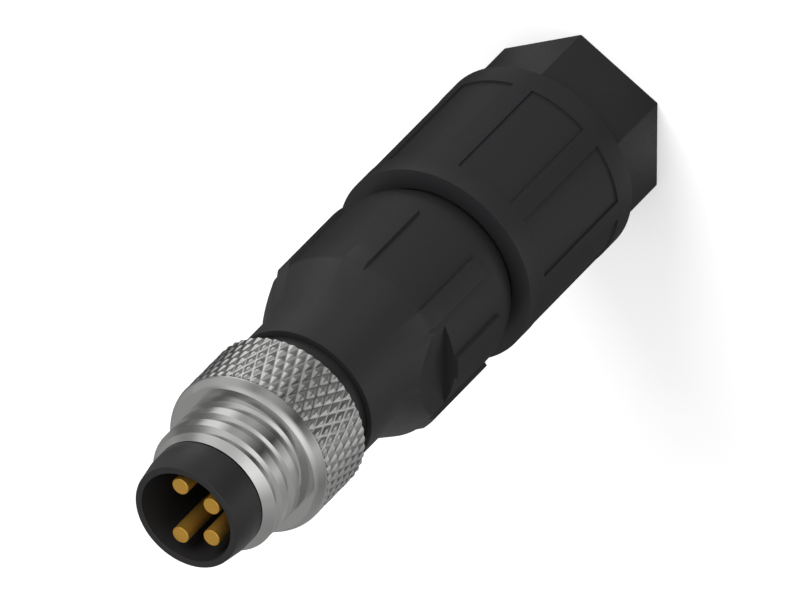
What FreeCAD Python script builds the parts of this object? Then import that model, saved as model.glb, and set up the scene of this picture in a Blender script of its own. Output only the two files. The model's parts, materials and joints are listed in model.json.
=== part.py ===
import FreeCAD, Part
import math
import os
import Sketcher

# Circular field-wired cable plug, four pins, standing on its cable end.
# Millimetres and degrees. Z runs from the cable end to the pins, on the plug's axis.

document = FreeCAD.newDocument("cable_plug")
sheet = document.addObject("Spreadsheet::Sheet", "Sizes")


class Size:
    # A number together with the formula that the document keeps for it.

    def __init__(self, number, formula):
        self.number = number
        self.formula = formula

    def __add__(self, other):
        other = as_size(other)
        return Size(self.number + other.number, f"({self.formula} + {other.formula})")

    def __radd__(self, other):
        return as_size(other) + self

    def __sub__(self, other):
        other = as_size(other)
        return Size(self.number - other.number, f"({self.formula} - {other.formula})")

    def __rsub__(self, other):
        return as_size(other) - self

    def __mul__(self, other):
        other = as_size(other)
        return Size(self.number * other.number, f"({self.formula} * {other.formula})")

    def __truediv__(self, other):
        other = as_size(other)
        return Size(self.number / other.number, f"({self.formula} / {other.formula})")


def as_size(value):
    return value if isinstance(value, Size) else Size(float(value), repr(float(value)))


def root(size):
    return Size(math.sqrt(size.number), f"sqrt({size.formula})")


def cosine(angle):
    return Size(math.cos(math.radians(angle.number)), f"cos({angle.formula})")


def sine(angle):
    return Size(math.sin(math.radians(angle.number)), f"sin({angle.formula})")


def arc_tangent(slope):
    return Size(math.degrees(math.atan(slope.number)), f"atan({slope.formula})")


def dimension(name, number):
    # One driving dimension: a row of the sheet, its cell named like the dimension.
    row = dimension.rows = getattr(dimension, "rows", 0) + 1
    sheet.set(f"A{row}", name.replace("_", " "))
    sheet.set(f"B{row}", repr(float(number)))
    sheet.setAlias(f"B{row}", name)
    return Size(float(number), f"Sizes.{name}")


def new_body(label):
    body = document.addObject("PartDesign::Body", label)
    body.Label = label
    return body


def new_sketch(body, name, role, lift=None, turn=None):
    # A sketch on one of the body's origin planes, lifted off it and turned about its own upright.
    sketch = body.newObject("Sketcher::SketchObject", name)
    plane = [feature for feature in body.Origin.OriginFeatures if feature.Role == role][0]
    sketch.AttachmentSupport = [(plane, "")]
    sketch.MapMode = "FlatFace"
    if turn is not None:
        upright = FreeCAD.Rotation(FreeCAD.Vector(0, 1, 0), turn.number)
        sketch.AttachmentOffset = FreeCAD.Placement(FreeCAD.Vector(0, 0, 0), upright)
        sketch.setExpression("AttachmentOffset.Rotation.Angle", turn.formula)
    if lift is not None:
        away = as_size(lift)
        if turn is None:
            sketch.setExpression("AttachmentOffset.Base.z", away.formula)
        else:
            sketch.setExpression("AttachmentOffset.Base.x", (away * sine(turn)).formula)
            sketch.setExpression("AttachmentOffset.Base.z", (away * cosine(turn)).formula)
    return sketch


def constrain(sketch, kind, places, size):
    index = sketch.addConstraint(Sketcher.Constraint(kind, *places, size.number))
    sketch.setExpression(f"Constraints[{index}]", size.formula)


def pin_point(sketch, edge, end, across, up):
    # Ties one end of an edge to its distance from the sketch's two axes.
    if across.number == 0:
        sketch.addConstraint(Sketcher.Constraint("PointOnObject", edge, end, -2))
    else:
        constrain(sketch, "DistanceX", (-1, 1, edge, end), across)
    if up.number == 0:
        sketch.addConstraint(Sketcher.Constraint("PointOnObject", edge, end, -1))
    else:
        constrain(sketch, "DistanceY", (-1, 1, edge, end), up)


def arc_between(start, end, radius, side):
    # The shorter arc from start to end, its centre to the left (side 1) or right (side -1) of the way.
    way = end - start
    middle = (start + end) * 0.5
    reach = math.sqrt(radius ** 2 - (way.Length / 2) ** 2)
    left = FreeCAD.Vector(-way.y, way.x, 0).normalize()
    centre = middle + left * (side * reach)
    first, last = (start, end) if side > 0 else (end, start)
    from_angle = math.atan2(first.y - centre.y, first.x - centre.x)
    to_angle = math.atan2(last.y - centre.y, last.x - centre.x)
    circle = Part.Circle(centre, FreeCAD.Vector(0, 0, 1), radius)
    return Part.ArcOfCircle(circle, from_angle, to_angle)


def outline(sketch, corners, arcs=None):
    # A closed outline through the corners. arcs gives (radius, side) for the edges that are round,
    # each by the number of the corner that it leaves.
    arcs = arcs or {}
    corners = [(as_size(across), as_size(up)) for across, up in corners]
    points = [FreeCAD.Vector(across.number, up.number, 0) for across, up in corners]
    ends = []
    for number, start in enumerate(points):
        end = points[(number + 1) % len(points)]
        if number in arcs:
            radius, side = arcs[number]
            sketch.addGeometry(arc_between(start, end, radius.number, side), False)
            ends.append((1, 2) if side > 0 else (2, 1))
        else:
            sketch.addGeometry(Part.LineSegment(start, end), False)
            ends.append((1, 2))
    for number in range(len(points)):
        following = (number + 1) % len(points)
        sketch.addConstraint(Sketcher.Constraint(
            "Coincident", number, ends[number][1], following, ends[following][0]))
    for number, (across, up) in enumerate(corners):
        pin_point(sketch, number, ends[number][0], across, up)
    for number, (radius, side) in arcs.items():
        constrain(sketch, "Radius", (number,), radius)


def sector(sketch, inner, outer, first, last):
    # A piece of a flat ring about the origin, between two radii and two angles from the X axis.
    centre = FreeCAD.Vector(0, 0, 0)
    upward = FreeCAD.Vector(0, 0, 1)
    from_angle = math.radians(first.number)
    to_angle = math.radians(last.number)
    near = sketch.addGeometry(
        Part.ArcOfCircle(Part.Circle(centre, upward, inner.number), from_angle, to_angle), False)
    far = sketch.addGeometry(
        Part.ArcOfCircle(Part.Circle(centre, upward, outer.number), from_angle, to_angle), False)
    sides = []
    for angle in (from_angle, to_angle):
        ray = FreeCAD.Vector(math.cos(angle), math.sin(angle), 0)
        sides.append(sketch.addGeometry(
            Part.LineSegment(ray * inner.number, ray * outer.number), False))
    for arc in (near, far):
        sketch.addConstraint(Sketcher.Constraint("Coincident", arc, 3, -1, 1))
    for side, arc_end in zip(sides, (1, 2)):
        sketch.addConstraint(Sketcher.Constraint("Coincident", near, arc_end, side, 1))
        sketch.addConstraint(Sketcher.Constraint("Coincident", far, arc_end, side, 2))
    constrain(sketch, "Radius", (near,), inner)
    constrain(sketch, "Radius", (far,), outer)
    for side, angle in zip(sides, (first, last)):
        across = inner * cosine(angle)
        up = inner * sine(angle)
        level = abs(up.number) < abs(across.number)
        kind, value = ("DistanceY", up) if level else ("DistanceX", across)
        constrain(sketch, kind, (-1, 1, side, 1), value)
        kind, value = ("DistanceY", outer * sine(angle)) if level else ("DistanceX", outer * cosine(angle))
        constrain(sketch, kind, (-1, 1, side, 2), value)


def circle(sketch, across, up, radius):
    across = as_size(across)
    up = as_size(up)
    middle = FreeCAD.Vector(across.number, up.number, 0)
    ring = sketch.addGeometry(Part.Circle(middle, FreeCAD.Vector(0, 0, 1), radius.number), False)
    pin_point(sketch, ring, 3, across, up)
    constrain(sketch, "Radius", (ring,), radius)


def revolve(body, name, corners, arcs=None):
    # Turns an outline of (radius, height) corners about the body's Z axis.
    sketch = new_sketch(body, f"{name}_outline", "XZ_Plane")
    outline(sketch, corners, arcs)
    turned = body.newObject("PartDesign::Revolution", name)
    turned.Profile = sketch
    turned.ReferenceAxis = (sketch, ["V_Axis"])
    turned.Angle = 360
    return turned


def pad(body, name, sketch, length):
    feature = body.newObject("PartDesign::Pad", name)
    feature.Profile = sketch
    feature.setExpression("Length", length.formula)
    return feature


def pocket(body, name, sketch, length):
    # Cuts the sketch's outline out of the body, along the way that the sketch faces.
    feature = body.newObject("PartDesign::Pocket", name)
    feature.Profile = sketch
    feature.Reversed = True
    feature.setExpression("Length", length.formula)
    return feature


def repeat(body, name, feature, count):
    # Repeats a feature round the body's Z axis.
    pattern = body.newObject("PartDesign::PolarPattern", name)
    pattern.Originals = [feature]
    axis = [part for part in body.Origin.OriginFeatures if part.Role == "Z_Axis"][0]
    pattern.Axis = (axis, [""])
    pattern.Angle = 360
    pattern.Occurrences = count
    body.Tip = pattern
    return pattern


def place(part, turn, distance):
    # Turns a sub-part about the plug's axis and moves it out along its own X.
    upright = FreeCAD.Rotation(FreeCAD.Vector(0, 0, 1), turn.number)
    part.Placement = FreeCAD.Placement(FreeCAD.Vector(0, 0, 0), upright)
    part.setExpression("Placement.Rotation.Angle", turn.formula)
    part.setExpression("Placement.Base.x", (distance * cosine(turn)).formula)
    part.setExpression("Placement.Base.y", (distance * sine(turn)).formula)


# Clearances between pieces that fit.
running_gap = dimension("running_gap", 0.05)      # a ring that turns on its seat
thread_gap = dimension("thread_gap", 0.05)        # between two threaded pieces, both drawn plain
fit_gap = dimension("fit_gap", 0.02)              # pieces pushed together for good
seal_gap = dimension("seal_gap", 0.03)            # a soft ring beside the wall that it seals
end_gap = dimension("end_gap", 0.1)               # between faces that come to rest on each other

# Gland cap: a hexagon for the spanner and a round grip with eight shallow panels.
hex_across_flats = dimension("hex_across_flats", 10.0)
hex_length = dimension("hex_length", 4.94)
cap_radius = dimension("cap_radius", 6.26)
grip_length = dimension("grip_length", 11.12)
panel_depth = dimension("panel_depth", 0.055)
panel_margin = dimension("panel_margin", 1.52)
panel_length = dimension("panel_length", 8.09)
panel_half_angle = dimension("panel_half_angle", 17.2)
panel_middle_angle = dimension("panel_middle_angle", 22.5)
panel_count = 8
inlet_radius = dimension("inlet_radius", 2.9)
inlet_length = dimension("inlet_length", 2.4)
inlet_chamfer = dimension("inlet_chamfer", 0.3)
press_cone_length = dimension("press_cone_length", 2.6)
chamber_radius = dimension("chamber_radius", 4.4)
thread_run_out = dimension("thread_run_out", 0.6)

# Housing sleeve: threaded neck, domed shoulder, ribbed grip, cone and two spanner flats.
neck_radius = dimension("neck_radius", 4.7)
neck_reach = dimension("neck_reach", 4.86)
sleeve_radius = dimension("sleeve_radius", 5.8)
dome_radius = dimension("dome_radius", 4.04)
dome_setback = dimension("dome_setback", 0.23092)
rib_height = dimension("rib_height", 0.22)
rib_setback = dimension("rib_setback", 0.27)
rib_length = dimension("rib_length", 5.69)
rib_half_angle = dimension("rib_half_angle", 6.5)
upper_rib_half_angle = dimension("upper_rib_half_angle", 6.7)
side_rib_first_angle = dimension("side_rib_first_angle", 31.8)
side_rib_last_angle = dimension("side_rib_last_angle", 44.0)
cone_length = dimension("cone_length", 2.83)
front_radius = dimension("front_radius", 4.52)
front_length = dimension("front_length", 3.06)
flat_distance = dimension("flat_distance", 5.12)
flat_lead = dimension("flat_lead", 0.96)
throat_radius = dimension("throat_radius", 2.7)
throat_depth = dimension("throat_depth", 1.2)
throat_length = dimension("throat_length", 1.2)
seat_radius = dimension("seat_radius", 3.2)
chamber_gap = dimension("chamber_gap", 0.3)
hollow_cone_length = dimension("hollow_cone_length", 2.7)

# Insulating insert: the terminal block behind, and the contact carrier with its shroud in front.
block_radius = dimension("block_radius", 3.8)
block_reach = dimension("block_reach", 11.85)
block_thread_step = dimension("block_thread_step", 0.08)
block_thread_length = dimension("block_thread_length", 3.25)
flange_setback = dimension("flange_setback", 0.37)
flange_length = dimension("flange_length", 1.0)
stem_radius = dimension("stem_radius", 3.1)
socket_depth = dimension("socket_depth", 4.05)
nose_gap = dimension("nose_gap", 0.06)
nose_radius = dimension("nose_radius", 3.46)
nose_length = dimension("nose_length", 1.04)
nose_taper_length = dimension("nose_taper_length", 1.37)
nose_taper = dimension("nose_taper", 0.2)
rim_width = dimension("rim_width", 0.405)
shroud_depth = dimension("shroud_depth", 6.47)
shroud_draft = dimension("shroud_draft", 0.105)

# Contacts: pins in a trapezoid, each one piece with its screw terminal.
pin_circle_radius = dimension("pin_circle_radius", 1.79)
near_pin_angle = dimension("near_pin_angle", 37.84)
far_pin_angle = dimension("far_pin_angle", 109.0)
pin_radius = dimension("pin_radius", 0.52)
pin_setback = dimension("pin_setback", 0.37)
pin_tip_round = dimension("pin_tip_round", 0.08)
barrel_radius = dimension("barrel_radius", 0.88)
barrel_setback = dimension("barrel_setback", 0.6)
wire_hole_radius = dimension("wire_hole_radius", 0.55)
wire_hole_depth = dimension("wire_hole_depth", 5.2)
wire_entry_radius = dimension("wire_entry_radius", 0.75)
screw_radius = dimension("screw_radius", 0.7)
screw_lead = dimension("screw_lead", 2.4)
screw_bite = dimension("screw_bite", 0.07)
screw_length = dimension("screw_length", 1.35)
slot_width = dimension("slot_width", 0.28)
slot_depth = dimension("slot_depth", 0.4)

# Lock ring: knurled grip, rounded shoulder and the threaded spigot.
ring_distance = dimension("ring_distance", 1.44)
knurl_radius = dimension("knurl_radius", 5.02)
knurl_depth = dimension("knurl_depth", 0.26)
knurl_land = dimension("knurl_land", 0.15)
knurl_count = 28
shoulder_round = dimension("shoulder_round", 1.11)
shoulder_drop = dimension("shoulder_drop", 0.38)
shoulder_distance = dimension("shoulder_distance", 4.92)
spigot_radius = dimension("spigot_radius", 4.0)
spigot_length = dimension("spigot_length", 3.59)
spigot_chamfer = dimension("spigot_chamfer", 0.54)
ring_chamfer = dimension("ring_chamfer", 0.12)

# Friction washer between the insert's flange and the lock ring.
washer_thickness = dimension("washer_thickness", 0.3)
washer_setback = dimension("washer_setback", 0.2)

# Sealing rings.
cap_seal_width = dimension("cap_seal_width", 0.62)
cap_seal_depth = dimension("cap_seal_depth", 0.27)
cap_groove_depth = dimension("cap_groove_depth", 0.35)
front_seal_width = dimension("front_seal_width", 0.54)
front_groove_depth = dimension("front_groove_depth", 0.38)
groove_slack = dimension("groove_slack", 0.06)
mouth_step = dimension("mouth_step", 0.3)
seat_step = dimension("seat_step", 0.19)

# Cable clamp: fingered cage with a rubber sleeve inside.
cage_gap = dimension("cage_gap", 0.1)
cage_wall = dimension("cage_wall", 1.15)
cage_lead = dimension("cage_lead", 1.1)
finger_length = dimension("finger_length", 5.5)
finger_slot_width = dimension("finger_slot_width", 0.7)
finger_slot_count = 8
cable_seal_gap = dimension("cable_seal_gap", 0.1)
cable_seal_bore_radius = dimension("cable_seal_bore_radius", 1.95)
cable_seal_setback = dimension("cable_seal_setback", 0.3)
cable_seal_cone_length = dimension("cable_seal_cone_length", 1.2)
cable_seal_taper = dimension("cable_seal_taper", 0.45)
cable_seal_lead = dimension("cable_seal_lead", 1.0)

zero = as_size(0)
beyond = dimension("beyond", 1.0)                  # how far a cutting outline stands clear of the piece

# Heights along the axis, each from the piece before it.
cap_end = hex_length + grip_length
panel_start = hex_length + panel_margin
neck_start = cap_end - neck_reach
chamber_end = neck_start - thread_run_out
throat_start = neck_start + throat_depth
throat_end = throat_start + throat_length
hollow_start = throat_end + hollow_cone_length
dome_start = cap_end - dome_setback
dome_level = dome_radius - sleeve_radius + neck_radius
dome_end = dome_start + root(dome_radius * dome_radius - dome_level * dome_level)
rib_start = dome_end + rib_setback
cone_start = rib_start + rib_length
cone_end = cone_start + cone_length
sleeve_end = cone_end + front_length
flat_start = cone_start - flat_lead
block_start = sleeve_end - block_reach
block_thread_start = sleeve_end - block_thread_length
socket_floor = sleeve_end + flange_length - socket_depth
flange_end = sleeve_end + flange_length
ring_start = sleeve_end + ring_distance
shoulder_end = ring_start + shoulder_distance
spigot_end = shoulder_end + spigot_length
nose_start = spigot_end + nose_gap
nose_taper_start = nose_start + nose_length
nose_end = nose_taper_start + nose_taper_length
shroud_floor = nose_end - shroud_depth
pin_end = nose_end - pin_setback
barrel_start = block_start + barrel_setback
barrel_end = socket_floor - fit_gap
screw_height = barrel_start + screw_lead
cap_seal_start = cap_end - cap_seal_depth - cap_seal_width
front_seal_start = sleeve_end - groove_slack - front_seal_width

# Radii that follow from a neighbour and a clearance.
cap_thread_radius = neck_radius + thread_gap
cap_mouth_radius = neck_radius + mouth_step
cap_groove_radius = neck_radius - cap_groove_depth
rib_radius = sleeve_radius + rib_height
block_thread_radius = block_radius + block_thread_step
front_groove_radius = block_thread_radius - front_groove_depth
front_seat_radius = block_thread_radius + seat_step
flange_radius = front_radius - flange_setback
washer_radius = flange_radius - washer_setback
ring_bore_radius = stem_radius + running_gap
shoulder_face_radius = knurl_radius - shoulder_drop
nose_end_radius = nose_radius - nose_taper
mouth_radius = nose_end_radius - rim_width
shroud_floor_radius = mouth_radius - shroud_draft
barrel_bore_radius = barrel_radius + fit_gap
screw_hole_radius = screw_radius + fit_gap
screw_tip_distance = pin_circle_radius + wire_hole_radius - screw_bite
cage_outer_radius = chamber_radius - cage_gap
cage_bore_radius = cage_outer_radius - cage_wall
cage_start = inlet_length + cage_lead
cage_end = neck_start - end_gap
cable_seal_end = cage_end + cable_seal_lead
pin_angles = (near_pin_angle, far_pin_angle, 360 - far_pin_angle, 360 - near_pin_angle)


def gland_cap():
    # Moulded cap: hexagon behind, round grip in front, bored for the cable, the clamp and the thread.
    body = new_body("gland_cap")
    flats = new_sketch(body, "hexagon", "XY_Plane")
    half = hex_across_flats / 2
    corner_reach = hex_across_flats / root(as_size(3))
    outline(flats, [
        (half, corner_reach / -2),
        (half, corner_reach / 2),
        (zero, corner_reach),
        (half * -1, corner_reach / 2),
        (half * -1, corner_reach / -2),
        (zero, corner_reach * -1),
    ])
    pad(body, "spanner_hexagon", flats, hex_length)
    grip = new_sketch(body, "grip_circle", "XY_Plane", hex_length)
    circle(grip, zero, zero, cap_radius)
    pad(body, "grip", grip, cap_end - hex_length)
    hollow = new_sketch(body, "hollow_outline", "XZ_Plane")
    cone_top = inlet_length + press_cone_length
    mouth_start = cap_seal_start - groove_slack * 2
    outline(hollow, [
        (zero, beyond * -1),
        (inlet_radius + inlet_chamfer + beyond, beyond * -1),
        (inlet_radius, inlet_chamfer),
        (inlet_radius, inlet_length),
        (chamber_radius, cone_top),
        (chamber_radius, chamber_end),
        (cap_thread_radius, chamber_end),
        (cap_thread_radius, mouth_start),
        (cap_mouth_radius, mouth_start),
        (cap_mouth_radius, cap_end + beyond),
        (zero, cap_end + beyond),
    ])
    groove = body.newObject("PartDesign::Groove", "hollow")
    groove.Profile = hollow
    groove.ReferenceAxis = (hollow, ["V_Axis"])
    groove.Angle = 360
    panel = new_sketch(body, "panel_sector", "XY_Plane", panel_start)
    sector(panel, cap_radius - panel_depth, cap_radius + beyond,
           panel_middle_angle - panel_half_angle, panel_middle_angle + panel_half_angle)
    recess = pocket(body, "panel", panel, panel_length)
    repeat(body, "panels", recess, panel_count)
    return body


def body_sleeve():
    # Moulded housing sleeve: its neck enters the cap, its front thread holds the insert.
    body = new_body("body_sleeve")
    groove_start = cap_seal_start - groove_slack
    groove_end = cap_seal_start + cap_seal_width + groove_slack
    bore_radius = block_thread_radius + thread_gap
    counterbore_start = front_seal_start - groove_slack
    hollow_radius = block_radius + chamber_gap
    revolve(body, "turned_sleeve", [
        (seat_radius, neck_start),
        (neck_radius, neck_start),
        (neck_radius, groove_start),
        (cap_groove_radius, groove_start),
        (cap_groove_radius, groove_end),
        (neck_radius, groove_end),
        (neck_radius, dome_start),
        (sleeve_radius, dome_end),
        (sleeve_radius, rib_start),
        (rib_radius, rib_start),
        (rib_radius, cone_start),
        (front_radius, cone_end),
        (front_radius, sleeve_end),
        (front_seat_radius, sleeve_end),
        (front_seat_radius, counterbore_start),
        (bore_radius, counterbore_start),
        (bore_radius, block_thread_start),
        (hollow_radius, block_thread_start),
        (hollow_radius, hollow_start),
        (throat_radius, throat_end),
        (throat_radius, throat_start),
    ], {6: (dome_radius, 1)})
    gaps = new_sketch(body, "rib_gaps", "XY_Plane", rib_start)
    narrow = (rib_half_angle, side_rib_first_angle)
    wide = (side_rib_last_angle, 90 - upper_rib_half_angle)
    for first, last in (narrow, wide):
        for from_angle, to_angle in (
                (first, last), (180 - last, 180 - first),
                (180 + first, 180 + last), (360 - last, 360 - first)):
            sector(gaps, sleeve_radius, rib_radius + beyond, from_angle, to_angle)
    pocket(body, "between_ribs", gaps, cone_end - rib_start)
    flats = new_sketch(body, "spanner_flats", "XY_Plane", flat_start)
    reach = rib_radius + beyond
    for side in (1, -1):
        near = flat_distance * side
        far = reach * side
        corners = [(near, reach * -1), (far, reach * -1), (far, reach), (near, reach)]
        add_rectangle(flats, corners)
    pocket(body, "flats", flats, sleeve_end - flat_start)
    return body


def add_rectangle(sketch, corners):
    # A second closed outline in the same sketch, numbered after what the sketch already holds.
    offset = sketch.GeometryCount
    points = [FreeCAD.Vector(across.number, up.number, 0) for across, up in corners]
    for number, start in enumerate(points):
        sketch.addGeometry(Part.LineSegment(start, points[(number + 1) % 4]), False)
    for number in range(4):
        sketch.addConstraint(Sketcher.Constraint(
            "Coincident", offset + number, 2, offset + (number + 1) % 4, 1))
    for number, (across, up) in enumerate(corners):
        pin_point(sketch, offset + number, 1, across, up)


def contact_carrier():
    # Front insulator: a solid stem that holds the pins, and the shroud round their free ends.
    body = new_body("contact_carrier")
    revolve(body, "turned_carrier", [
        (zero, socket_floor + fit_gap),
        (stem_radius, socket_floor + fit_gap),
        (stem_radius, nose_start),
        (nose_radius, nose_start),
        (nose_radius, nose_taper_start),
        (nose_end_radius, nose_end),
        (mouth_radius, nose_end),
        (shroud_floor_radius, shroud_floor),
        (zero, shroud_floor),
    ])
    holes = new_sketch(body, "pin_holes", "XY_Plane", socket_floor)
    for angle in pin_angles:
        circle(holes, pin_circle_radius * cosine(angle), pin_circle_radius * sine(angle),
               pin_radius + fit_gap)
    pocket(body, "pin_bores", holes, shroud_floor - socket_floor + beyond)
    return body


def terminal_block():
    # Rear insulator: flange against the sleeve's front face, thread, and four bores for the terminals.
    body = new_body("terminal_block")
    groove_start = front_seal_start - groove_slack
    revolve(body, "turned_block", [
        (zero, block_start),
        (block_radius, block_start),
        (block_radius, block_thread_start),
        (block_thread_radius, block_thread_start),
        (block_thread_radius, groove_start),
        (front_groove_radius, groove_start),
        (front_groove_radius, sleeve_end),
        (flange_radius, sleeve_end),
        (flange_radius, flange_end),
        (stem_radius + fit_gap, flange_end),
        (stem_radius + fit_gap, socket_floor),
        (zero, socket_floor),
    ])
    bores = new_sketch(body, "barrel_circles", "XY_Plane", barrel_start - fit_gap)
    entries = new_sketch(body, "wire_circles", "XY_Plane", block_start - beyond)
    for angle in pin_angles:
        across = pin_circle_radius * cosine(angle)
        up = pin_circle_radius * sine(angle)
        circle(bores, across, up, barrel_bore_radius)
        circle(entries, across, up, wire_entry_radius)
    pocket(body, "barrel_bores", bores, socket_floor - barrel_start + beyond)
    pocket(body, "wire_entries", entries, barrel_start - block_start + beyond)
    for number, angle in enumerate(pin_angles, 1):
        access = new_sketch(body, f"screw_circle_{number}", "XZ_Plane", pin_circle_radius, angle + 90)
        circle(access, zero, screw_height, screw_hole_radius)
        pocket(body, f"screw_access_{number}", access, block_radius)
    return body


def contact_pin(number, angle):
    # Turned contact: pin in front, barrel behind with an axial wire hole and a tapped cross hole.
    body = new_body(f"contact_pin_{number}")
    revolve(body, f"turned_contact_{number}", [
        (zero, barrel_start + wire_hole_depth),
        (wire_hole_radius, barrel_start + wire_hole_depth),
        (wire_hole_radius, barrel_start),
        (barrel_radius, barrel_start),
        (barrel_radius, barrel_end),
        (pin_radius, barrel_end),
        (pin_radius, pin_end - pin_tip_round),
        (pin_radius - pin_tip_round, pin_end),
        (zero, pin_end),
    ])
    cross = new_sketch(body, f"cross_hole_circle_{number}", "YZ_Plane")
    circle(cross, zero, screw_height, screw_hole_radius)
    pocket(body, f"cross_hole_{number}", cross, barrel_radius + beyond)
    place(body, angle, pin_circle_radius)
    return body


def terminal_screw(number, angle):
    # Headless slotted screw that presses the wire, pointing at the plug's axis.
    body = new_body(f"terminal_screw_{number}")
    shank = new_sketch(body, f"shank_circle_{number}", "YZ_Plane", screw_tip_distance)
    circle(shank, zero, screw_height, screw_radius)
    pad(body, f"shank_{number}", shank, screw_length)
    slot = new_sketch(body, f"slot_outline_{number}", "YZ_Plane",
                      screw_tip_distance + screw_length - slot_depth)
    half = slot_width / 2
    reach = screw_radius + beyond
    outline(slot, [
        (half * -1, screw_height - reach),
        (half, screw_height - reach),
        (half, screw_height + reach),
        (half * -1, screw_height + reach),
    ])
    pocket(body, f"slot_{number}", slot, slot_depth + beyond)
    place(body, angle, zero)
    return body


def knurl_groove(body, name, middle, height, hand):
    # One straight V of the knurl, leaning to one hand. It gains one step round over its height,
    # so that the grooves above and below it run on from its ends.
    step = knurl_radius * (2 * math.pi / knurl_count)
    lean = arc_tangent(step / height)
    sketch = new_sketch(body, f"{name}_section", "XY_Plane")
    across = FreeCAD.Rotation(FreeCAD.Vector(hand, 0, 0), lean.number)
    sketch.AttachmentOffset = FreeCAD.Placement(FreeCAD.Vector(0, 0, 0), across)
    sketch.setExpression("AttachmentOffset.Rotation.Angle", lean.formula)
    sketch.setExpression("AttachmentOffset.Base.z", middle.formula)
    half = (step * cosine(lean) - knurl_land) / 2
    outline(sketch, [
        (knurl_radius - knurl_depth, zero),
        (knurl_radius + knurl_depth, half * -2),
        (knurl_radius + knurl_depth, half * 2),
    ])
    groove = pocket(body, name, sketch, height / cosine(lean) + half)
    groove.Midplane = True
    return groove


def lock_ring():
    # Turned coupling ring: diamond knurl, rounded shoulder, threaded spigot (drawn plain).
    body = new_body("lock_ring")
    level = shoulder_round - shoulder_drop
    grip_end = shoulder_end - root(shoulder_round * shoulder_round - level * level)
    revolve(body, "turned_ring", [
        (ring_bore_radius, ring_start),
        (knurl_radius - ring_chamfer, ring_start),
        (knurl_radius, ring_start + ring_chamfer),
        (knurl_radius, grip_end),
        (shoulder_face_radius, shoulder_end),
        (spigot_radius, shoulder_end),
        (spigot_radius, spigot_end - spigot_chamfer),
        (spigot_radius - spigot_chamfer, spigot_end),
        (ring_bore_radius, spigot_end),
    ], {3: (shoulder_round, 1)})
    height = (grip_end - ring_start) / 2
    for name, hand in (("right", 1), ("left", -1)):
        for half, middle in (("lower", ring_start + height / 2), ("upper", grip_end - height / 2)):
            groove = knurl_groove(body, f"{half}_{name}_groove", middle, height, hand)
            repeat(body, f"{half}_{name}_knurl", groove, knurl_count)
    return body


def friction_washer():
    # Flat washer on the flange: it keeps the turning ring off the insert.
    body = new_body("friction_washer")
    face = flange_end + fit_gap
    revolve(body, "punched_washer", [
        (ring_bore_radius, face),
        (washer_radius, face),
        (washer_radius, face + washer_thickness),
        (ring_bore_radius, face + washer_thickness),
    ])
    return body


def clamp_cage():
    # Fingered cage: the cap's inner cone closes its fingers on the rubber sleeve and the cable.
    body = new_body("clamp_cage")
    slope = (chamber_radius - inlet_radius) / press_cone_length
    lean = root(slope * slope + 1)
    tip_radius = inlet_radius + cage_lead * slope - cage_gap * lean
    cone_top = cage_start + (cage_outer_radius - tip_radius) / slope
    revolve(body, "turned_cage", [
        (cage_bore_radius, cage_start),
        (tip_radius, cage_start),
        (cage_outer_radius, cone_top),
        (cage_outer_radius, cage_end),
        (cage_bore_radius, cage_end),
    ])
    slots = new_sketch(body, "slot_outline", "XY_Plane", cage_start - beyond)
    half = finger_slot_width / 2
    outline(slots, [
        (zero, half * -1),
        (chamber_radius + beyond, half * -1),
        (chamber_radius + beyond, half),
        (zero, half),
    ])
    cut = pocket(body, "finger_slot", slots, finger_length + beyond)
    repeat(body, "finger_slots", cut, finger_slot_count)
    return body


def cable_seal():
    # Rubber sleeve round the cable, its coned end facing the seat in the housing sleeve.
    body = new_body("cable_seal")
    outer_radius = cage_bore_radius - cable_seal_gap
    start = cage_start + cable_seal_setback
    revolve(body, "moulded_seal", [
        (cable_seal_bore_radius, start),
        (outer_radius, start),
        (outer_radius, cable_seal_end - cable_seal_cone_length),
        (outer_radius - cable_seal_taper, cable_seal_end),
        (cable_seal_bore_radius, cable_seal_end),
    ])
    return body


def sealing_ring(label, inner_radius, outer_radius, start, width):
    # A square-section ring seated on the floor of its groove.
    body = new_body(label)
    revolve(body, f"moulded_{label}", [
        (inner_radius, start),
        (outer_radius, start),
        (outer_radius, start + width),
        (inner_radius, start + width),
    ])
    return body


sub_parts = [gland_cap(), body_sleeve(), terminal_block(), contact_carrier(), lock_ring(),
             friction_washer(), clamp_cage(), cable_seal()]
for number, angle in enumerate(pin_angles, 1):
    sub_parts.append(contact_pin(number, angle))
    sub_parts.append(terminal_screw(number, angle))
sub_parts.append(sealing_ring("cap_seal", cap_groove_radius + fit_gap, cap_mouth_radius - seal_gap,
                              cap_seal_start, cap_seal_width))
sub_parts.append(sealing_ring("front_seal", front_groove_radius + fit_gap, front_seat_radius - seal_gap,
                              front_seal_start, front_seal_width))

document.recompute()

for item in document.Objects:
    if "Invalid" in item.State or "Error" in item.State:
        raise RuntimeError(f"{item.Label} did not build: {item.State}")
for part in sub_parts:
    if part.Shape.isNull() or not part.Shape.isValid() or len(part.Shape.Solids) != 1:
        raise RuntimeError(f"{part.Label} is not one sound solid")

os.makedirs("parts", exist_ok=True)
for part in sub_parts:
    part.Shape.exportStep(f"parts/{part.Label}.step")
    box = part.Shape.BoundBox
    print(f"{part.Label}: {part.Shape.Volume:.2f} mm3, Z {box.ZMin:.2f} to {box.ZMax:.2f}")
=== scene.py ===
import json
import math

import bpy
import numpy as np
from mathutils import Matrix, Vector


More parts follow.
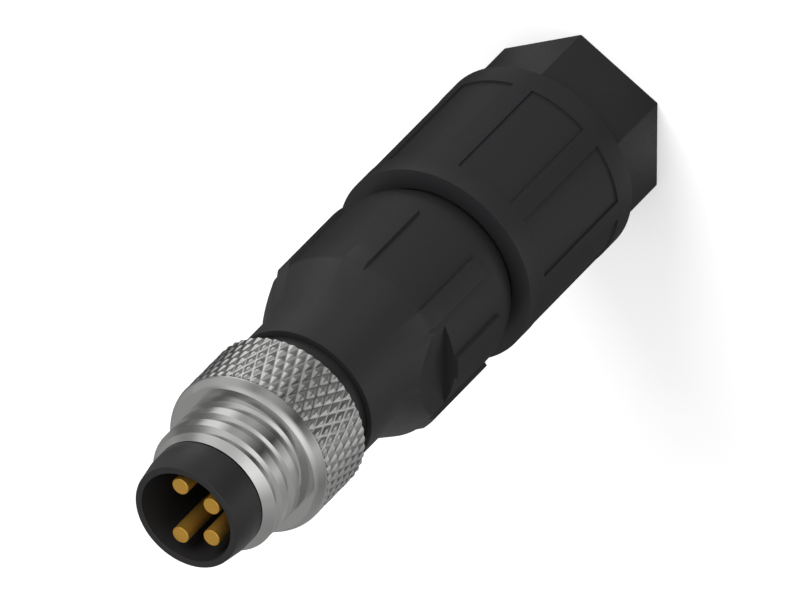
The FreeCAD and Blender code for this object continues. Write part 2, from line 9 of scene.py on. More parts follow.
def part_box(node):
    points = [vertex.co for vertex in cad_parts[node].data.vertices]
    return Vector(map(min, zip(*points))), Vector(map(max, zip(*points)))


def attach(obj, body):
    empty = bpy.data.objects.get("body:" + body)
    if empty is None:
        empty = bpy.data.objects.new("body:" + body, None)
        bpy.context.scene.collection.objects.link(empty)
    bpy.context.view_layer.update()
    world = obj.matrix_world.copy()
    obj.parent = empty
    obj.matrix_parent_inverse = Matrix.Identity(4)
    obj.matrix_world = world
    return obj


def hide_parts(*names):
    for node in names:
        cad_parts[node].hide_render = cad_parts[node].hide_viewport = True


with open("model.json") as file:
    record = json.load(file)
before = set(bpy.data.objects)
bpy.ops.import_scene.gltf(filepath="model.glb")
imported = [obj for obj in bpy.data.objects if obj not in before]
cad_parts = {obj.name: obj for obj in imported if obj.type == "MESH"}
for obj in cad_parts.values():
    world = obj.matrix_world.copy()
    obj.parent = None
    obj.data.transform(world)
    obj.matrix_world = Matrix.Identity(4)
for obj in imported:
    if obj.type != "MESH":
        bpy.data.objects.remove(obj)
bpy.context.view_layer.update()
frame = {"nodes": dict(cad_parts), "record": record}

mm = 0.001
drawGap = 1e-4 * mm       # vertices closer than this are one, while an outline is drawn or cut
meshGap = 1e-3 * mm       # and than this, once the piece is made
wholeTurn = 2 * math.pi
roundShare = 0.3          # how far a small round's middle lies inside its corner, as a share of its size


# Selection and modes

def deselectAll():
    if bpy.context.object and bpy.context.object.mode != "OBJECT":
        bpy.ops.object.mode_set(mode="OBJECT")
    bpy.ops.object.select_all(action="DESELECT")


def makeActive(piece):
    deselectAll()
    piece.select_set(True)
    bpy.context.view_layer.objects.active = piece


def enterEdit(selectMode="VERT"):
    bpy.ops.object.mode_set(mode="EDIT")
    bpy.ops.mesh.select_mode(type=selectMode)


def leaveEdit():
    bpy.ops.object.mode_set(mode="OBJECT")


def vertexPlaces(piece):
    # Radius in millimetres, angle in degrees and height in millimetres of every vertex
    flat = np.empty(len(piece.data.vertices) * 3)
    piece.data.vertices.foreach_get("co", flat)
    return cylinderPlaces(flat)


def facePlaces(piece):
    # The same for the middle of every face
    flat = np.empty(len(piece.data.polygons) * 3)
    piece.data.polygons.foreach_get("center", flat)
    return cylinderPlaces(flat)


def cylinderPlaces(flat):
    places = flat.reshape(-1, 3) / mm
    angle = np.degrees(np.arctan2(places[:, 1], places[:, 0])) % 360
    return np.hypot(places[:, 0], places[:, 1]), angle, places[:, 2]


def select(piece, vertices=None, faces=None):
    # Leaves the piece in edit mode with nothing but the chosen vertices or faces selected
    makeActive(piece)
    mesh = piece.data
    for elements, chosen in ((mesh.edges, None), (mesh.vertices, vertices), (mesh.polygons, faces)):
        elements.foreach_set("select", np.zeros(len(elements), bool) if chosen is None else chosen)
    enterEdit("VERT" if faces is None else "FACE")


def scaleOffAxis(piece, chosen, factor):
    # Moves the chosen vertices to or from the plug's axis
    if not chosen.any():
        return
    select(piece, vertices=chosen)
    bpy.ops.transform.resize(value=(factor, factor, 1), center_override=(0, 0, 0))
    leaveEdit()


# Modelling by lathe and by cutting

def arcPoints(centreRadius, centreHeight, radius, fromAngle, toAngle, steps):
    # Points of an arc in the outline's plane, angles in degrees from the outward direction
    points = []
    for step in range(steps + 1):
        angle = math.radians(fromAngle + (toAngle - fromAngle) * step / steps)
        points.append((centreRadius + radius * math.cos(angle), centreHeight + radius * math.sin(angle)))
    return points


def rows(radius, start, end, count):
    # Evenly spaced points along a cylinder's wall, without the first one
    return [(radius, start + (end - start) * step / count) for step in range(1, count + 1)]


def softened(corners, size, steps=3, longestReach=0.45, smallestBend=20):
    # The outline with each sharp corner between its two ends turned into a small round
    points = [corners[0]]
    for number in range(1, len(corners) - 1):
        here = Vector(corners[number])
        before = Vector(corners[number - 1]) - here
        after = Vector(corners[number + 1]) - here
        if math.pi - before.angle(after) < math.radians(smallestBend):
            points.append(corners[number])
            continue
        reach = min(size, before.length * longestReach, after.length * longestReach)
        first = here + before.normalized() * reach
        last = here + after.normalized() * reach
        for step in range(steps + 1):
            part = step / steps
            blend = first * (1 - part) ** 2 + here * (2 * part * (1 - part)) + last * part ** 2
            points.append((blend.x, blend.y))
    return points + [corners[-1]]


def drawOutline(name, places):
    # Draws a line one vertex at a time and leaves it in edit mode
    deselectAll()
    bpy.ops.mesh.primitive_plane_add(size=mm, location=(0, 0, 0))
    piece = bpy.context.object
    piece.name = name
    enterEdit()
    bpy.ops.mesh.select_all(action="SELECT")
    bpy.ops.mesh.merge(type="CENTER")
    bpy.ops.transform.translate(value=places[0])
    for before, after in zip(places, places[1:]):
        bpy.ops.mesh.extrude_vertices_move(TRANSFORM_OT_translate={"value": after - before})
    return piece


def lathe(name, outline, steps, closed=True, firstAngle=0.0):
    # Draws the outline of radii and heights and spins it about the plug's axis
    across = math.cos(math.radians(firstAngle))
    up = math.sin(math.radians(firstAngle))
    places = [Vector((radius * across, radius * up, height)) * mm for radius, height in outline]
    if closed:
        places.append(places[0])
    piece = drawOutline(name, places)
    bpy.ops.mesh.select_all(action="SELECT")
    bpy.ops.mesh.remove_doubles(threshold=drawGap)
    bpy.ops.mesh.spin(steps=steps, angle=wholeTurn, center=(0, 0, 0), axis=(0, 0, 1))
    finishMesh()
    leaveEdit()
    return piece


def finishMesh():
    # Merges the doubles and turns every face outwards, in edit mode
    bpy.ops.mesh.select_all(action="SELECT")
    bpy.ops.mesh.remove_doubles(threshold=meshGap)
    bpy.ops.mesh.normals_make_consistent(inside=False)


def combine(piece, other, operation):
    # Boolean of two pieces; the other one is used up
    makeActive(piece)
    boolean = piece.modifiers.new("combine", "BOOLEAN")
    boolean.operation = operation
    boolean.solver = "EXACT"
    boolean.object = other
    bpy.ops.object.modifier_apply(modifier=boolean.name)
    deselectAll()
    other.select_set(True)
    bpy.ops.object.delete()


def joinPieces(main, other):
    makeActive(main)
    other.select_set(True)
    bpy.ops.object.join()


def smooth(piece, sharpAngle=32):
    makeActive(piece)
    bpy.ops.object.shade_smooth_by_angle(angle=math.radians(sharpAngle))
    deselectAll()


def finishPiece(piece, slotName, body, nodeName):
    # Gives a finished piece its material, its slot, its body and the solid that it stands for
    piece.data.materials.clear()
    piece.data.materials.append(materials[slotName])
    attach(piece, body)
    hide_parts(nodeName)
    replaced.append(nodeName)
    print("made", piece.name, len(piece.data.polygons), "faces")


# Materials

finishes = {
    "black_plastic": {"colour": (0.0163, 0.0163, 0.0176), "roughness": (0.36, 0.46), "grain": 0.12,
                      "bump": 0.1},
    "insert_plastic": {"colour": (0.0145, 0.0145, 0.0155), "roughness": (0.32, 0.4), "grain": 0.1,
                       "bump": 0.06},
    "ring_metal": {"colour": (0.72, 0.72, 0.71), "metallic": 1, "roughness": (0.15, 0.19), "grain": 0.2,
                   "bump": 0.01, "stretch": (0.3, 0.3, 2)},
    "gold_contact": {"colour": (0.86, 0.475, 0.083), "metallic": 0.85, "roughness": (0.28, 0.36),
                     "grain": 0.1, "bump": 0.05},
    "screw_steel": {"colour": (0.6, 0.6, 0.6), "metallic": 1, "roughness": (0.3, 0.4), "grain": 0.1,
                    "bump": 0.1},
    "seal_rubber": {"colour": (0.02, 0.02, 0.02), "roughness": (0.6, 0.75), "grain": 0.08, "bump": 0.2},
    "cage_plastic": {"colour": (0.2, 0.21, 0.22), "roughness": (0.4, 0.5), "grain": 0.1, "bump": 0.1},
}
grainLook = {
    "detail": 4,
    "darkest": 0.3,           # the noise level for the first value of the roughness
    "lightest": 0.7,          # and the one for the second
    "bumpDistance": 0.01,
}


def grainMaterial(name, look):
    # A surface with an even grain: fine noise in the roughness and a shallow bump
    material = bpy.data.materials.new(name)
    material.use_nodes = True
    nodes = material.node_tree.nodes
    links = material.node_tree.links
    shader = nodes["Principled BSDF"]
    shader.inputs["Base Color"].default_value = (*look["colour"], 1)
    shader.inputs["Metallic"].default_value = look.get("metallic", 0)
    place = nodes.new("ShaderNodeTexCoord")
    stretch = nodes.new("ShaderNodeMapping")
    stretch.inputs["Scale"].default_value = look.get("stretch", (1, 1, 1))
    links.new(place.outputs["Object"], stretch.inputs["Vector"])
    noise = nodes.new("ShaderNodeTexNoise")
    noise.inputs["Scale"].default_value = 1 / (look["grain"] * mm)
    noise.inputs["Detail"].default_value = grainLook["detail"]
    links.new(stretch.outputs["Vector"], noise.inputs["Vector"])
    spread = nodes.new("ShaderNodeMapRange")
    spread.inputs["From Min"].default_value = grainLook["darkest"]
    spread.inputs["From Max"].default_value = grainLook["lightest"]
    spread.inputs["To Min"].default_value = look["roughness"][0]
    spread.inputs["To Max"].default_value = look["roughness"][1]
    links.new(noise.outputs["Fac"], spread.inputs["Value"])
    links.new(spread.outputs["Result"], shader.inputs["Roughness"])
    bump = nodes.new("ShaderNodeBump")
    bump.inputs["Strength"].default_value = look["bump"]
    bump.inputs["Distance"].default_value = grainLook["bumpDistance"] * mm
    links.new(noise.outputs["Fac"], bump.inputs["Height"])
    links.new(bump.outputs["Normal"], shader.inputs["Normal"])
    return material


materials = {name: grainMaterial(name, look) for name, look in finishes.items()}
replaced = []
print("materials made")


# Gland cap

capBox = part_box("gland_cap")
capLook = {
    "radius": capBox[1][0] / mm,
    "top": capBox[1][2] / mm,
    "edge": 0.05,
    "hexAcross": 10.0,
    "hexTop": 4.94,
    "hexOverlap": 0.4,
    "hexEdge": 0.07,
    "hexEdgeSteps": 2,
    "panelStart": 6.46,
    "panelEnd": 14.55,
    "panelDepth": 0.12,
    "panelSlope": 0.01,
    "panelHalfAngle": 17.0,
    "firstPanel": 22.5,
    "panels": 8,
    "wallShare": 0.98,        # what stands further out than this share of the radius is the wall
    "inletRadius": 2.9,
    "inletChamfer": 0.3,
    "inletEnd": 2.4,
    "coneEnd": 5.0,
    "chamberRadius": 4.4,
    "chamberEnd": 10.6,
    "threadRadius": 4.75,
    "mouthRadius": 5.0,
    "mouthStart": 15.1,
    "beyond": 1.0,            # how far the cutter reaches past both ends
    "columns": 360,
    "firstAngle": 0.5,        # puts the panels' edges on columns
    "hollowColumns": 180,
}


def buildCap():
    look = capLook
    radius = look["radius"]
    bottom = look["hexTop"]
    top = look["top"]
    edge = look["edge"]
    outline = [
        (0, bottom), (radius - edge, bottom), (radius - edge * roundShare, bottom + edge * roundShare),
        (radius, bottom + edge), (radius, look["panelStart"]), (radius, look["panelEnd"]),
        (radius, top - edge), (radius - edge * roundShare, top - edge * roundShare),
        (radius - edge, top), (0, top),
    ]
    cap = lathe("glandCap", outline, look["columns"], closed=False, firstAngle=look["firstAngle"])
    sinkPanels(cap)
    combine(cap, buildHexagon(), "UNION")
    combine(cap, buildHollow(), "DIFFERENCE")
    smooth(cap)
    finishPiece(cap, "black_plastic", "cap", "gland_cap")


def sinkPanels(cap):
    # Selects the panel faces by their place and sinks them with a narrow slope all round
    look = capLook
    reach, angle, height = facePlaces(cap)
    pitch = 360 / look["panels"]
    offset = (angle - look["firstPanel"] + pitch / 2) % pitch - pitch / 2
    chosen = (np.abs(offset) < look["panelHalfAngle"]) & (reach > look["radius"] * look["wallShare"])
    chosen &= (height > look["panelStart"]) & (height < look["panelEnd"])
    select(cap, faces=chosen)
    bpy.ops.mesh.inset(thickness=look["panelSlope"] * mm, depth=-look["panelDepth"] * mm)
    leaveEdit()


def buildHexagon():
    look = capLook
    deselectAll()
    depth = look["hexTop"] + look["hexOverlap"]
    bpy.ops.mesh.primitive_cylinder_add(
        vertices=6, radius=look["hexAcross"] / math.sqrt(3) * mm, depth=depth * mm,
        location=(0, 0, depth / 2 * mm))
    hexagon = bpy.context.object
    bpy.ops.object.transform_apply(location=True, rotation=True, scale=True)
    enterEdit()
    bpy.ops.mesh.select_all(action="SELECT")
    bpy.ops.mesh.bevel(offset=look["hexEdge"] * mm, segments=look["hexEdgeSteps"], affect="EDGES")
    leaveEdit()
    return hexagon


def buildHollow():
    # The inlet, the inner cone, the chamber, the thread and the mouth as one cutter
    look = capLook
    inlet = look["inletRadius"]
    beyond = look["beyond"]
    outline = [
        (0, -beyond), (inlet + look["inletChamfer"] + beyond, -beyond), (inlet, look["inletChamfer"]),
        (inlet, look["inletEnd"]), (look["chamberRadius"], look["coneEnd"]),
        (look["chamberRadius"], look["chamberEnd"]), (look["threadRadius"], look["chamberEnd"]),
        (look["threadRadius"], look["mouthStart"]), (look["mouthRadius"], look["mouthStart"]),
        (look["mouthRadius"], look["top"] + beyond), (0, look["top"] + beyond),
    ]
    return lathe("cap hollow", outline, look["hollowColumns"], closed=False)


buildCap()


# Housing sleeve

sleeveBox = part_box("body_sleeve")
sleeveLook = {
    "start": sleeveBox[0][2] / mm,
    "end": sleeveBox[1][2] / mm,
    "neckRadius": 4.7,
    "domeRadius": 4.04,
    "domeEnd": 18.6,
    "domeSteps": 24,
    "ribs": ((0, 6.5), (38, 6), (90, 6.5), (142, 6), (180, 6.5), (218, 6), (270, 6.5), (322, 6)),
    "ribRadius": sleeveBox[1][1] / mm,
    "ribHeight": 0.22,
    "ribStart": 18.87,
    "ribSlope": 0.06,
    "ribRows": 4,
    "ribMargin": 0.1,         # degrees
    "heightMargin": 0.01,     # this and the next find the wall's vertices
    "wallShare": 0.99,
    "coneStart": 24.56,
    "coneEnd": 27.39,
    "frontRadius": 4.52,
    "frontEdge": 0.06,
    "mouthRadius": 4.17,
    "mouthDepth": 3,
    "chamberRadius": 4.1,
    "chamberStart": 16.3,
    "throatRadius": 2.7,
    "throatEnd": 13.6,
    "throatStart": 12.4,
    "seatRadius": 3.2,
    "flatDistance": 5.12,
    "flatStart": 23.6,
    "cutterDepth": 3,
    "cutterWidth": 14,
    "beyond": 1,
    "columns": 720,
    "sharpAngle": 28,
}


def buildSleeve():
    look = sleeveLook
    end = look["end"]
    front = look["frontRadius"]
    edge = look["frontEdge"]
    dome = look["domeRadius"]
    base = look["ribRadius"] - look["ribHeight"]
    slope = (look["ribRadius"] - front) / (look["coneEnd"] - look["coneStart"])
    meeting = look["coneStart"] + look["ribHeight"] / slope
    lowest = math.degrees(math.acos((dome - base + look["neckRadius"]) / dome))
    ribFoot = look["ribStart"] + look["ribSlope"]
    outline = [(look["seatRadius"], look["start"]), (look["neckRadius"], look["start"])]
    outline += arcPoints(base - dome, look["domeEnd"], dome, -lowest, 0, look["domeSteps"])
    outline += [(base, look["ribStart"]), (base, ribFoot)]
    outline += rows(base, ribFoot, look["coneStart"], look["ribRows"])
    outline += [(base, meeting), (front, look["coneEnd"])]
    outline += [(front, end - edge), (front - edge * roundShare, end - edge * roundShare)]
    outline += [(front - edge, end)]
    outline += [(look["mouthRadius"], end), (look["chamberRadius"], end - look["mouthDepth"])]
    outline += [(look["chamberRadius"], look["chamberStart"])]
    outline += [(look["throatRadius"], look["throatEnd"]), (look["throatRadius"], look["throatStart"])]
    sleeve = lathe("housingSleeve", outline, look["columns"])
    raiseRibs(sleeve, base)
    for side in (1, -1):
        combine(sleeve, buildFlatCutter(side), "DIFFERENCE")
    smooth(sleeve, look["sharpAngle"])
    finishPiece(sleeve, "black_plastic", "housing", "body_sleeve")


def raiseRibs(sleeve, base):
    # Moves the wall's vertices within the ribs' angles out to the ribs' radius
    look = sleeveLook
    radius, angle, height = vertexPlaces(sleeve)
    wall = height > look["ribStart"] + look["ribSlope"] / 2
    wall &= (height < look["coneStart"] + look["heightMargin"]) & (radius > base * look["wallShare"])
    raised = np.zeros(len(wall), bool)
    for centre, half in look["ribs"]:
        offset = (angle - centre + 180) % 360 - 180
        raised |= wall & (np.abs(offset) < half + look["ribMargin"])
    scaleOffAxis(sleeve, raised, look["ribRadius"] / base)


def buildFlatCutter(side):
    look = sleeveLook
    depth = look["cutterDepth"]
    tall = look["end"] - look["flatStart"] + look["beyond"]
    deselectAll()
    middle = Vector((side * (look["flatDistance"] + depth / 2), 0, look["flatStart"] + tall / 2))
    bpy.ops.mesh.primitive_cube_add(size=1, location=middle * mm)
    bpy.ops.transform.resize(value=(depth * mm, look["cutterWidth"] * mm, tall * mm))
    cutter = bpy.context.object
    bpy.ops.object.transform_apply(location=True, rotation=True, scale=True)
    return cutter


buildSleeve()


# Lock ring

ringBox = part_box("lock_ring")
ringLook = {
    "start": ringBox[0][2] / mm,
    "end": ringBox[1][2] / mm,
    "radius": ringBox[1][0] / mm,
    "bore": 3.15,
    "rearEdge": 0.12,
    "knurlEnd": 35.94,
    "knurlDepth": 0.08,
    "diamonds": 53,
    "diamondLength": 1.43,
    "land": 0.3,              # flat part of a diamond, as a share of its width
    "steps": 10,              # columns to a diamond
    "heightMargin": 0.001,    # this and the next find the wall's vertices
    "wallShare": 0.999,
    "shoulderRadius": 4.65,
    "shoulderTop": 36.81,
    "shoulderSteps": 10,
    "knurlSharpAngle": 24,
    "crestRadius": 4.0,
    "rootRadius": 3.55,
    "pitch": 1.25,
    "crestWidth": 0.6,
    "rootWidth": 0.06,
    "crestAngle": 52,
    "crestHeight": 37.79,
    "chamfer": 0.54,
    "turns": 6,
    "turnsBelow": 2,          # how many of them start below the crest's height
    "threadFoot": 0.2,        # how far the thread reaches into the shoulder
    "threadSteps": 144,
    "threadSharpAngle": 28,
    "beyond": 0.5,
    "slack": 0.001,
}


def buildRing():
    look = ringLook
    radius = look["radius"]
    start = look["start"]
    edge = look["rearEdge"]
    rowCount = round((look["knurlEnd"] - start - edge) / look["diamondLength"] * look["steps"])
    outline = [(look["bore"], start), (radius - edge, start), (radius, start + edge)]
    outline += rows(radius, start + edge, look["knurlEnd"], rowCount)
    sag = radius - look["shoulderRadius"]
    length = look["shoulderTop"] - look["knurlEnd"]
    band = (length ** 2 + sag ** 2) / (2 * sag)
    sweep = math.degrees(math.asin(length / band))
    outline += arcPoints(radius - band, look["knurlEnd"], band, 0, sweep, look["shoulderSteps"])[1:]
    outline += [(look["bore"], look["shoulderTop"])]
    ring = lathe("lockRing", outline, look["diamonds"] * look["steps"])
    cutKnurl(ring, start + edge, rowCount)
    smooth(ring, look["knurlSharpAngle"])
    thread = buildThread()
    smooth(thread, look["threadSharpAngle"])
    joinPieces(ring, thread)
    finishPiece(ring, "ring_metal", "ring", "lock_ring")


def cutKnurl(ring, start, rowCount):
    # Lowers the vertices near the two families of crossing grooves
    look = ringLook
    steps = look["steps"]
    margin = look["heightMargin"]
    radius, angle, height = vertexPlaces(ring)
    spacing = (look["knurlEnd"] - start) / rowCount
    column = np.rint(angle / 360 * look["diamonds"] * steps).astype(int)
    row = np.rint((height - start) / spacing).astype(int)
    wall = (height > start - margin) & (height < look["knurlEnd"] + margin)
    wall &= radius > look["radius"] * look["wallShare"]
    rising = (column + row) % steps
    falling = (column - row) % steps
    nearness = np.minimum(np.minimum(rising, steps - rising), np.minimum(falling, steps - falling))
    slopeSteps = round(steps / 2 * (1 - look["land"]))
    for level in range(slopeSteps):
        depth = look["knurlDepth"] * (1 - level / slopeSteps)
        scaleOffAxis(ring, wall & (nearness == level), (look["radius"] - depth) / look["radius"])


def buildThread():
    # One pitch of the thread's outline, screwed round the axis, cut level, chamfered and bored
    look = ringLook
    crest = look["crestWidth"] / 2
    root = look["rootWidth"] / 2
    pitch = look["pitch"]
    half = pitch / 2
    outline = [
        (look["rootRadius"], -half), (look["rootRadius"], -half + root), (look["crestRadius"], -crest),
        (look["crestRadius"], crest), (look["rootRadius"], half - root), (look["rootRadius"], half),
    ]
    turn = math.radians(look["crestAngle"])
    toCrest = Vector((math.cos(turn), math.sin(turn), 0))
    lowest = look["crestHeight"] - look["turnsBelow"] * pitch
    places = [(toCrest * radius + Vector((0, 0, lowest + height))) * mm for radius, height in outline]
    thread = drawOutline("thread", places)
    leaveEdit()
    screw = thread.modifiers.new("screw", "SCREW")
    screw.axis = "Z"
    screw.screw_offset = pitch * mm
    screw.iterations = look["turns"]
    screw.steps = look["threadSteps"]
    screw.render_steps = look["threadSteps"]
    bpy.ops.object.modifier_apply(modifier=screw.name)
    makeActive(thread)
    enterEdit()
    bpy.ops.mesh.select_all(action="SELECT")
    bpy.ops.mesh.remove_doubles(threshold=meshGap)
    for height, below in ((look["shoulderTop"] - look["threadFoot"], True), (look["end"], False)):
        bpy.ops.mesh.select_all(action="SELECT")
        bpy.ops.mesh.bisect(plane_co=(0, 0, height * mm), plane_no=(0, 0, 1), use_fill=True,
                            clear_inner=below, clear_outer=not below, threshold=drawGap)
    finishMesh()
    leaveEdit()
    combine(thread, buildThreadBlank(), "INTERSECT")
    return thread


def buildThreadBlank():
    # The bored and chamfered cylinder that the thread is kept inside
    look = ringLook
    beyond = look["beyond"]
    bottom = look["shoulderTop"] - 2 * beyond
    top = look["end"] + look["slack"]
    outline = [
        (look["bore"], bottom), (look["crestRadius"] + beyond, bottom),
        (look["crestRadius"] + beyond, look["end"] - look["chamfer"] - beyond),
        (look["crestRadius"] - look["chamfer"] - look["slack"], top), (look["bore"], top),
    ]
    return lathe("thread blank", outline, look["threadSteps"])


buildRing()


# Contact carrier with its shroud

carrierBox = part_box("contact_carrier")
carrierLook = {
    "start": carrierBox[0][2] / mm,
    "end": carrierBox[1][2] / mm,
    "stemRadius": 3.1,
    "noseStart": 40.46,
    "noseRadius": carrierBox[1][0] / mm,
    "taperStart": 41.5,
    "endRadius": 3.26,
    "mouthRadius": 2.855,
    "floorRadius": 2.75,
    "floor": 36.4,
    "rimRound": 0.07,
    "columns": 180,
}


def buildCarrier():
    look = carrierLook
    outline = softened([
        (0, look["start"]), (look["stemRadius"], look["start"]), (look["stemRadius"], look["noseStart"]),
        (look["noseRadius"], look["noseStart"]), (look["noseRadius"], look["taperStart"]),
        (look["endRadius"], look["end"]), (look["mouthRadius"], look["end"]),
        (look["floorRadius"], look["floor"]), (0, look["floor"]),
    ], look["rimRound"])
    carrier = lathe("contactCarrier", outline, look["columns"], closed=False)
    smooth(carrier)
    finishPiece(carrier, "insert_plastic", "housing", "contact_carrier")


buildCarrier()


# Contacts

contactLook = {
    "count": 4,
    "pinRadius": 0.52,
    "tipRound": 0.08,
    "barrelRadius": 0.88,
    "barrelEnd": 27.38,
    "columns": 48,
}


def buildContact(number):
    look = contactLook
    nodeName = f"contact_pin_{number}"
    lowest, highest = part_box(nodeName)
    start = lowest[2] / mm
    end = highest[2] / mm
    outline = [
        (0, start), (look["barrelRadius"], start), (look["barrelRadius"], look["barrelEnd"]),
        (look["pinRadius"], look["barrelEnd"]), (look["pinRadius"], end), (0, end),
    ]
    contact = lathe(f"contact{number}", softened(outline, look["tipRound"]), look["columns"], closed=False)
    middle = (lowest + highest) / 2
    makeActive(contact)
    enterEdit()
    bpy.ops.mesh.select_all(action="SELECT")
    bpy.ops.transform.translate(value=(middle[0], middle[1], 0))
    leaveEdit()
    smooth(contact)
    finishPiece(contact, "gold_contact", "housing", nodeName)


for number in range(1, contactLook["count"] + 1):
    buildContact(number)


# Solids that show as they are

slotOfNode = {entry["node"]: entry["material_slot"] for entry in frame["record"]["subparts"]}
for nodeName, node in frame["nodes"].items():
    if nodeName not in replaced:
        node.data.materials.clear()
        node.data.materials.append(materials[slotOfNode[nodeName]])
print("solids dressed")


# Stage: floor, light, camera

stageLook = {
    "floorSize": 4,
    "floorColour": (0.8, 0.8, 0.8),
    "floorRoughness": 0.9,
    "cameraGlow": 0.35,
    "worldSoft": 0.65,
    "horizonSine": 0.15,      # up to here the gloss sees the far levels of the floor's painted reflection glow
    "skySine": 0.5,           # and from here on the sky's
    "lamps": {                # compass angle, rise, power
        "keyLamp": (110, 32, 2.0),
        "fillLamp": (10, 25, 0.6),
    },
    "lampDistance": 0.5,
    "lampSize": 0.35,
    "lampAim": 22,            # height on the plug's axis in millimetres
    "toCamera": (0.4076, 0.6074, 0.6818),
    "imageUp": (-0.3117, 0.7944, -0.5213),
    "cameraAim": 21.4,        # height on the plug's axis in millimetres
    "frameWidth": 44.56,      # millimetres that the photograph's frame spans
    "lens": 1200,
    "sensor": 36,
    "clip": (0.1, 10),
    "aim": (582.87, 113.9),   # the photograph's pixel at which the rear face's centre stands
    "imageCentre": (400, 300),
    "pixelsPerMm": 17.953,
}

# Painted reflections: brightness of the surroundings as the gloss sees them, a glow of the floor seen only
# by glossy rays, whose bright bands and dark gaps paint the highlights and the dark stripe on metal and
# plastic. Compass angle in degrees, level.
# The glow goes from its near levels to the middle and the far ones over two stretches of distance.
paperGlowLook = {
    "near": ((-76, 0.07), (-36, 0.1), (-6, 0.28), (14, 0.25), (34, 0.1), (54, 0.17), (104, 0.17),
             (124, 0.24), (140, 0.22), (160, 0.06), (184, 0.03), (230, 0.04)),
    "middle": ((-76, 0.34), (-36, 0.32), (-16, 0.38), (4, 0.66), (24, 0.45), (44, 0.04), (64, 0.22),
               (84, 0.45), (104, 0.4), (124, 0.95), (144, 0.86), (160, 0.18), (184, 0.12), (230, 0.2)),
    "far": ((-76, 0.28), (-36, 0.2), (-16, 0.34), (4, 0.56), (24, 0.28), (44, 0.06), (64, 0.28),
            (84, 0.42), (104, 0.26), (124, 0.5), (144, 0.5), (164, 0.4), (184, 0.34), (230, 0.25)),
    "changes": ((35, 41), (52, 80)),
}
skyLook = ((-54, 0.35), (-20, 0.42), (5, 0.8), (24, 1), (44, 0.93), (64, 0.66), (84, 0.56), (104, 0.6),
           (121, 0.7), (137, 0.62), (151, 0.24), (163, 0.14), (210, 0.24), (236, 0.33), (270, 0.28))


def addRing(nodes, links, turn, stops):
    # A colour ramp that runs round the compass through the stops
    ramp = nodes.new("ShaderNodeValToRGB")
    elements = ramp.color_ramp.elements
    elements.remove(elements[0])
    placed = sorted((((angle + 180) % 360) / 360, level) for angle, level in stops)
    elements[0].position = placed[0][0]
    elements[0].color = (*[placed[0][1]] * 3, 1)
    for position, level in placed[1:]:
        elements.new(position).color = (*[level] * 3, 1)
    links.new(turn.outputs["Fac"], ramp.inputs["Fac"])
    return ramp.outputs["Color"]


def addCompass(nodes, links, direction):
    turn = nodes.new("ShaderNodeTexGradient")
    turn.gradient_type = "RADIAL"
    links.new(direction, turn.inputs["Vector"])
    return turn


def addPaintedReflections(nodes, links):
    # Painted reflections: what the gloss sees of the floor is a glow, with levels by compass angle that
    # change with the distance, and it paints the highlight bands and the dark stripe on metal and plastic
    place = nodes.new("ShaderNodeTexCoord").outputs["Object"]
    turn = addCompass(nodes, links, place)
    away = nodes.new("ShaderNodeVectorMath")
    away.operation = "LENGTH"
    links.new(place, away.inputs[0])
    shade = addRing(nodes, links, turn, paperGlowLook["near"])
    for (start, end), further in zip(paperGlowLook["changes"], (paperGlowLook["middle"], paperGlowLook["far"])):
        change = nodes.new("ShaderNodeMapRange")
        change.inputs["From Min"].default_value = start * mm
        change.inputs["From Max"].default_value = end * mm
        links.new(away.outputs["Value"], change.inputs["Value"])
        both = nodes.new("ShaderNodeMix")
        links.new(change.outputs["Result"], both.inputs["Factor"])
        links.new(shade, both.inputs["A"])
        links.new(addRing(nodes, links, turn, further), both.inputs["B"])
        shade = both.outputs["Result"]
    # painted reflection: an emission seen only by glossy rays
    paintedGlow = nodes.new("ShaderNodeEmission")
    links.new(shade, paintedGlow.inputs["Color"])
    return paintedGlow.outputs["Emission"]


def paperMaterial():
    # Pale paper with a little glow for the camera, and for glossy rays the gloss's own levels, a painted
    # reflection glow of bright and dark bands
    look = stageLook
    material = bpy.data.materials.new("floor")
    material.use_nodes = True
    nodes = material.node_tree.nodes
    links = material.node_tree.links
    shader = nodes["Principled BSDF"]
    shader.inputs["Base Color"].default_value = (*look["floorColour"], 1)
    shader.inputs["Roughness"].default_value = look["floorRoughness"]
    shader.inputs["Specular IOR Level"].default_value = 0
    path = nodes.new("ShaderNodeLightPath")
    level = nodes.new("ShaderNodeMath")
    level.operation = "MULTIPLY"
    level.inputs[1].default_value = look["cameraGlow"]
    links.new(path.outputs["Is Camera Ray"], level.inputs[0])
    glow = nodes.new("ShaderNodeEmission")
    glow.inputs["Color"].default_value = (1, 1, 1, 1)
    links.new(level.outputs["Value"], glow.inputs["Strength"])
    paper = nodes.new("ShaderNodeAddShader")
    links.new(shader.outputs["BSDF"], paper.inputs[0])
    links.new(glow.outputs["Emission"], paper.inputs[1])
    mix = nodes.new("ShaderNodeMixShader")
    links.new(path.outputs["Is Glossy Ray"], mix.inputs["Fac"])
    links.new(paper.outputs["Shader"], mix.inputs[1])
    links.new(addPaintedReflections(nodes, links), mix.inputs[2])
    links.new(mix.outputs["Shader"], nodes["Material Output"].inputs["Surface"])
    return material


def buildFloor():
    deselectAll()
    bpy.ops.mesh.primitive_plane_add(size=stageLook["floorSize"], location=(0, 0, 0))
    floor = bpy.context.object
    floor.name = "floor"
    floor.data.materials.append(paperMaterial())


def addLamp(name, azimuth, elevation, power):
    # A soft square lamp that faces the plug's middle
    look = stageLook
    across = math.radians(azimuth)
    rise = math.radians(elevation)
    away = Vector((math.cos(across) * math.cos(rise), math.sin(across) * math.cos(rise), math.sin(rise)))
    middle = Vector((0, 0, look["lampAim"] * mm))
    deselectAll()
    bpy.ops.object.light_add(type="AREA", location=middle + away * look["lampDistance"])
    lamp = bpy.context.object
    lamp.name = name
    lamp.rotation_euler = away.to_track_quat("Z", "Y").to_euler()
    lamp.data.size = look["lampSize"]
    lamp.data.energy = power
    lamp.visible_glossy = False


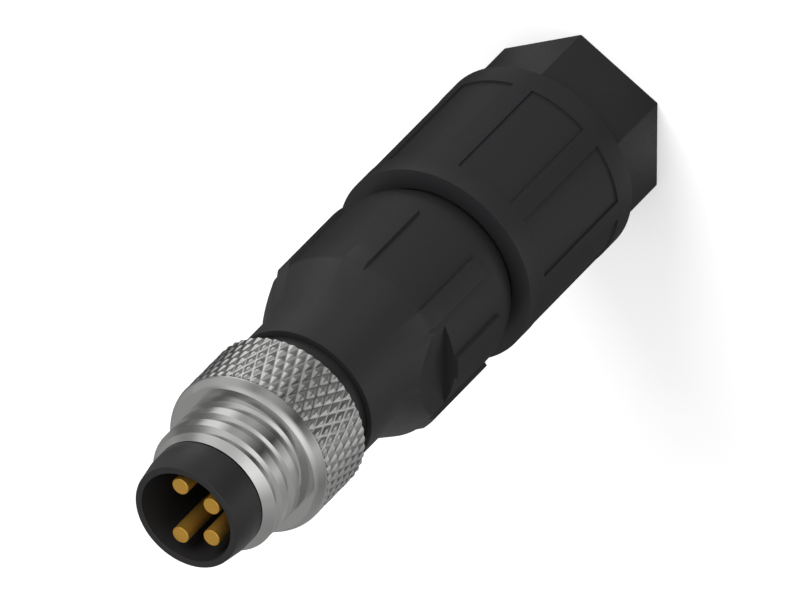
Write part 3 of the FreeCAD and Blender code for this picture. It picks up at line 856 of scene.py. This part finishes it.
def buildLight():
    # A white world for the camera, the sky's levels for the gloss and an even one for the rest
    look = stageLook
    world = bpy.data.worlds.new("world")
    world.use_nodes = True
    nodes = world.node_tree.nodes
    links = world.node_tree.links
    background = nodes["Background"]
    background.inputs["Color"].default_value = (1, 1, 1, 1)
    direction = nodes.new("ShaderNodeTexCoord").outputs["Generated"]
    turn = addCompass(nodes, links, direction)
    parts = nodes.new("ShaderNodeSeparateXYZ")
    links.new(direction, parts.inputs["Vector"])
    rise = nodes.new("ShaderNodeMapRange")
    rise.inputs["From Min"].default_value = look["horizonSine"]
    rise.inputs["From Max"].default_value = look["skySine"]
    links.new(parts.outputs["Z"], rise.inputs["Value"])
    blend = nodes.new("ShaderNodeMix")
    links.new(rise.outputs["Result"], blend.inputs["Factor"])
    links.new(addRing(nodes, links, turn, paperGlowLook["far"]), blend.inputs["A"])
    links.new(addRing(nodes, links, turn, skyLook), blend.inputs["B"])
    path = nodes.new("ShaderNodeLightPath")
    forGloss = nodes.new("ShaderNodeMapRange")
    forGloss.inputs["To Min"].default_value = look["worldSoft"]
    links.new(path.outputs["Is Glossy Ray"], forGloss.inputs["Value"])
    links.new(blend.outputs["Result"], forGloss.inputs["To Max"])
    forCamera = nodes.new("ShaderNodeMapRange")
    forCamera.inputs["To Max"].default_value = 1
    links.new(path.outputs["Is Camera Ray"], forCamera.inputs["Value"])
    links.new(forGloss.outputs["Result"], forCamera.inputs["To Min"])
    links.new(forCamera.outputs["Result"], background.inputs["Strength"])
    bpy.context.scene.world = world
    for name, (azimuth, elevation, power) in look["lamps"].items():
        addLamp(name, azimuth, elevation, power)


def buildCamera():
    # The photograph's viewpoint, from far off, because its parallel edges stay parallel
    look = stageLook
    back = Vector(look["toCamera"]).normalized()
    imageUp = Vector(look["imageUp"]).normalized()
    imageRight = imageUp.cross(back)
    centreRight = (look["imageCentre"][0] - look["aim"][0]) / look["pixelsPerMm"]
    centreUp = (look["aim"][1] - look["imageCentre"][1]) / look["pixelsPerMm"]
    depth = Vector((0, 0, look["cameraAim"])).dot(back)
    target = (imageRight * centreRight + imageUp * centreUp + back * depth) * mm
    distance = look["frameWidth"] * mm * look["lens"] / look["sensor"]
    deselectAll()
    bpy.ops.object.camera_add(location=target + back * distance)
    camera = bpy.context.object
    camera.name = "camera"
    camera.data.sensor_width = look["sensor"]
    camera.data.lens = look["lens"]
    camera.data.clip_start, camera.data.clip_end = look["clip"]
    rotation = np.array([imageRight, imageUp, back]).T
    camera.rotation_mode = "QUATERNION"
    camera.rotation_quaternion = Matrix(rotation.tolist()).to_quaternion()
    bpy.context.scene.camera = camera


buildFloor()
buildLight()
buildCamera()
bpy.context.scene.view_settings.view_transform = "Standard"
print("stage made")
